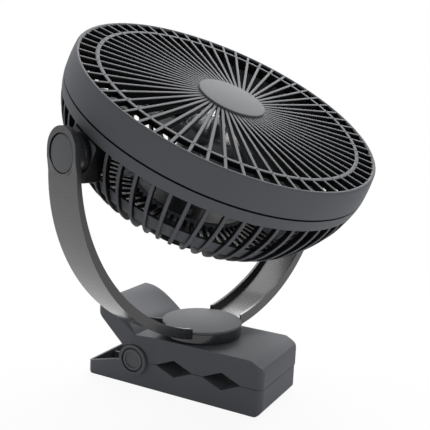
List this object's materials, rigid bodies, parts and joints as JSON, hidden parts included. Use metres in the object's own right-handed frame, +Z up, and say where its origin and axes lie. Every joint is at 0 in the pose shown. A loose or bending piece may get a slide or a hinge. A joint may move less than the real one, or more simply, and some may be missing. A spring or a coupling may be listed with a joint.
{
  "type": "clip fan",
  "caption": "Rechargeable fan in a round cage that tilts in a U-shaped yoke and swivels on a wide spring clip whose jaws grip edges and bars.",
  "frame": {"origin": "where the swivel axis meets the plane the clip stands on", "axes": "+Z up along the swivel axis; +X along the clip towards the nose of the jaws; the squeeze handles are at -X"},
  "size_m": [0.1949, 0.2286, 0.2428],
  "materials": {
    "case_plastic": "fine matt grain, charcoal",
    "cap_plastic": "smooth satin, charcoal",
    "steel": "zinc plated",
    "bronze": "sintered",
    "magnet": "dull",
    "rotor": "laminations and enamelled wire",
    "washer_rubber": "dull",
    "cell_wrap": "shrink wrap",
    "board": "solder mask",
    "lens": "clear",
    "impeller_plastic": "polished, charcoal",
    "button_rubber": "satin"
  },
  "bodies": {
    "lower_jaw": {"lower_jaw": "case_plastic", "lower_grip_plate": "case_plastic", "lower_grip_screws": "steel", "hinge_axle": "steel", "axle_caps": "cap_plastic", "clip_spring": "steel"},
    "upper_jaw": {"upper_jaw": "case_plastic", "upper_grip_plate": "case_plastic", "upper_grip_screws": "steel", "swivel_friction_washer": "washer_rubber"},
    "yoke": {"yoke": "case_plastic", "swivel_bolt": "steel", "swivel_lock_washer": "steel", "swivel_nut": "steel", "swivel_cap": "cap_plastic", "pivot_caps": "cap_plastic"},
    "head": {"front_grille": "case_plastic", "hub_badge": "cap_plastic", "rear_cage": "case_plastic", "rear_housing": "case_plastic", "housing_screws": "steel", "battery_cells": "cell_wrap", "control_board": "board", "charging_inlet": "steel", "lamp_lens": "lens", "motor_can": "steel", "motor_bushes": "bronze", "motor_magnets": "magnet", "motor_screws": "steel", "pivot_screws": "steel", "tilt_friction_washers": "washer_rubber"},
    "impeller": {"impeller": "impeller_plastic", "impeller_nut": "impeller_plastic", "motor_shaft": "steel", "motor_rotor": "rotor"},
    "power_button": {"power_button": "button_rubber"}
  },
  "joints": [
    {"name": "jaw_hinge", "type": "hinge", "parent": "lower_jaw", "child": "upper_jaw", "pos_m": [-0.0351, 0, 0.0184], "axis": [0, -1, 0], "range_deg": [0, 28], "stiffness_Nm_per_rad": 1.6, "springref_deg": -45.84},
    {"name": "yoke_swivel", "type": "hinge", "parent": "upper_jaw", "child": "yoke", "pos_m": [0, 0, 0.0379], "axis": [0, 0, 1], "continuous": true},
    {"name": "head_tilt", "type": "hinge", "parent": "yoke", "child": "head", "pos_m": [0, 0, 0.1625], "axis": [0.2723, 0.9622, 0], "continuous": true},
    {"name": "impeller_spin", "type": "hinge", "parent": "head", "child": "impeller", "pos_m": [0, 0, 0.1625], "axis": [0.4591, -0.1299, 0.8788], "continuous": true},
    {"name": "power_button_press", "type": "slide", "parent": "head", "child": "power_button", "axis": [0.4591, -0.1299, 0.8788], "range_m": [0, 0.001], "stiffness_N_per_m": 1500, "springref_m": -0.0006}
  ]
}
